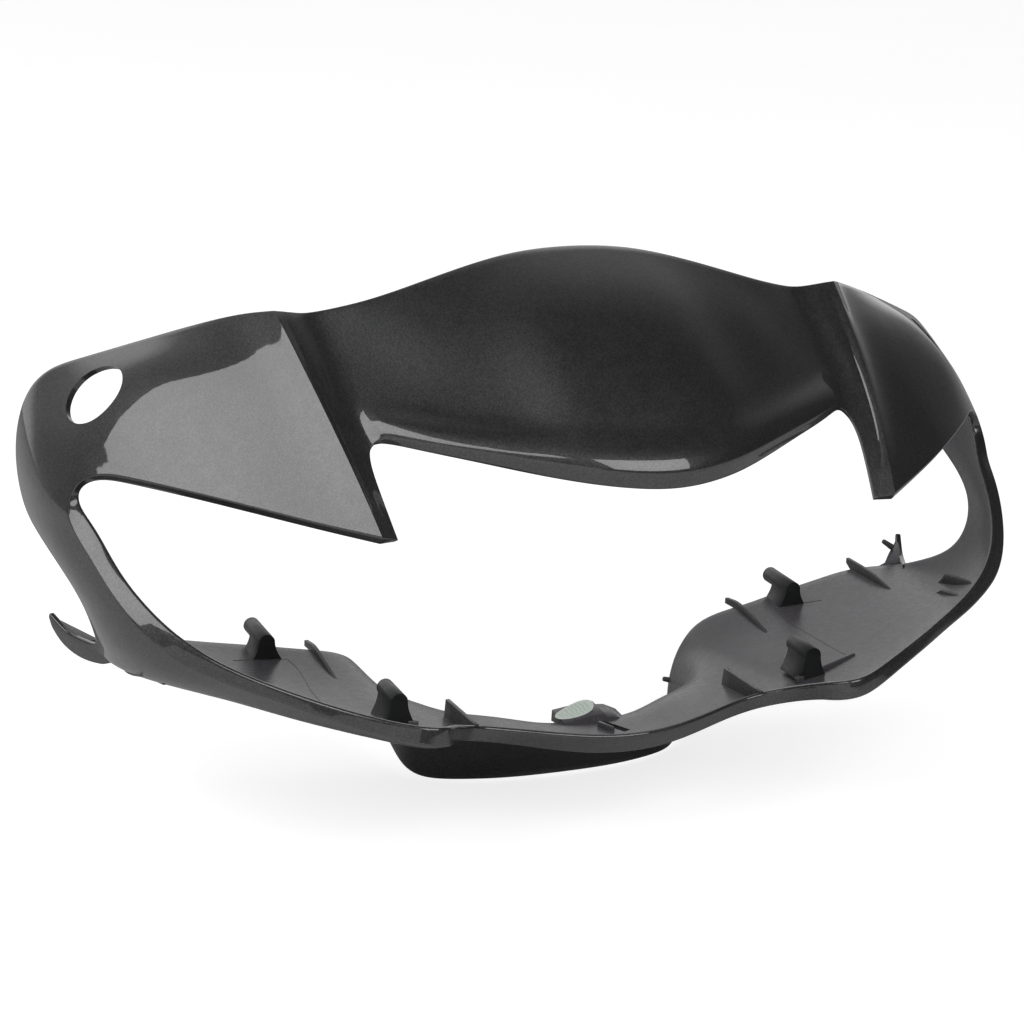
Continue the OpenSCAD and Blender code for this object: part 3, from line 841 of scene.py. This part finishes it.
def stage():
    w, z = FLOOR_HALF, cad_box[0][2] - FLOOR_BELOW
    corners = [(-w, -w, z), (w, -w, z), (w, w, z), (-w, w, z)]
    floor = from_lists("stage_floor", corners, [(0, 1, 2, 3)], [floor_material()])


def world():
    """Soft light from all round; gloss sees a room that is bright behind the part, dim before."""
    scene = bpy.context.scene
    scene.world = scene.world or bpy.data.worlds.new("world")
    scene.world.use_nodes = True
    n = Nodes(scene.world.node_tree)
    n.tree.nodes.clear()
    path = n.add("LightPath").outputs
    split = n.add("SeparateXYZ", {0: n.add("TexCoord").outputs["Generated"]})
    wall = n.ramp(split.outputs["Y"], 0.33, 0.78, (grey(0.02), grey(0.8)),
                  ((0.5, grey(0.09)), (0.68, grey(0.24))))
    soft = n.add("Background", {"Color": WHITE, "Strength": 0.32}).outputs[0]
    room = n.add("Background", {"Color": wall}).outputs[0]
    white = n.add("Background", {"Color": WHITE, "Strength": 1.0}).outputs[0]
    glossy = n.larger(path["Is Glossy Ray"], path["Is Transmission Ray"])
    light = n.add("MixShader", {0: glossy, 1: soft, 2: room}).outputs[0]
    shown = n.add("MixShader", {0: path["Is Camera Ray"], 1: light, 2: white}).outputs[0]
    n.add("OutputWorld", {"Surface": shown})


def aimed(spot, aim):
    return (Vector(spot) - Vector(aim)).to_track_quat("Z", "Y").to_matrix().to_4x4()


def softbox(name, spot, facing, width, height, power):
    data = bpy.data.lights.new(name, "AREA")
    data.shape, data.size, data.size_y, data.energy = "RECTANGLE", width, height, power
    obj = bpy.data.objects.new(name, data)
    bpy.context.scene.collection.objects.link(obj)
    obj.matrix_world = Matrix.Translation(spot) @ facing
    obj.visible_camera = False


def lights():
    """A large box overhead on the left, a weak one at the left front, a strip over the front."""
    key, fill, strip = (-2.51, -0.095, 2.0), (-1.7, -1.5, 0.3), (0.22, -1.2, 1.1)
    softbox("key_left_top", key, Matrix.Rotation(radians(-14.5), 4, "Z"), 3.05, 2.3, 46)
    softbox("fill_left_front", fill, aimed(fill, (0, 0, 0)), 2.0, 1.2, 2.8)
    softbox("strip_front_top", strip, aimed(strip, (0, -0.05, 0.05)), 1.5, 0.85, 9)


# ---------------------------------------------------------------- the whole scene
def main():
    place_camera()
    skin = paint()
    inside = bare("moulded_plastic", grey(0.08, 1.0, 0.95, 1.03), grey(0.1, 1.0, 0.94, 1.04),
                  (0.24, 0.32), True)
    # the bosses' plastic is the ribs' dark plastic made darker still, as painted shade on their
    # upright faces
    dark = bare("boss_plastic_painted_shade", grey(0.012, 0.95, 1.05, 1.0), grey(0.018, 0.95, 1.06, 1.0),
                (0.3, 0.4), False)
    satin = bare("rib_plastic", grey(0.03, 0.97, 1.0, 1.0), grey(0.045, 0.97, 1.0, 1.0),
                 (0.24, 0.34), False)

    shell = build_shell(skin, inside)
    carve(shell, shell_cutters([skin, inside]))
    smooth(shell, 42)
    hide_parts("cowl")
    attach(shell, "root")

    parts = []
    for name, *sizes in BOSSES:
        parts += both(boss, name, *sizes, [dark])
    parts += both(web, "horn_web", [inside])
    parts.append(pin("prong_right", *PRONG, [inside]))
    parts += both(pin, "neck_tab", *NECK_TAB, [inside])
    parts += both(bar, "floor_bar", *FLOOR_BAR, [inside])
    for name, *lines in RIBS:
        parts += both(rib, name, *lines, [satin])
    parts.append(step("sticker_step", [inside]))
    parts.append(slot_guide("slot_guide", [inside]))
    parts.append(seam_lines("mould_lines", shell, [inside]))
    for piece in parts:
        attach(piece, "root")
    for piece in both(horn, "horn", [skin]):
        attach(piece, "root")

    label = sticker([paper()])
    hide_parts("inspection_sticker")
    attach(label, "root")

    stage()
    world()
    lights()
    bpy.context.scene.view_settings.view_transform = "Standard"


main()
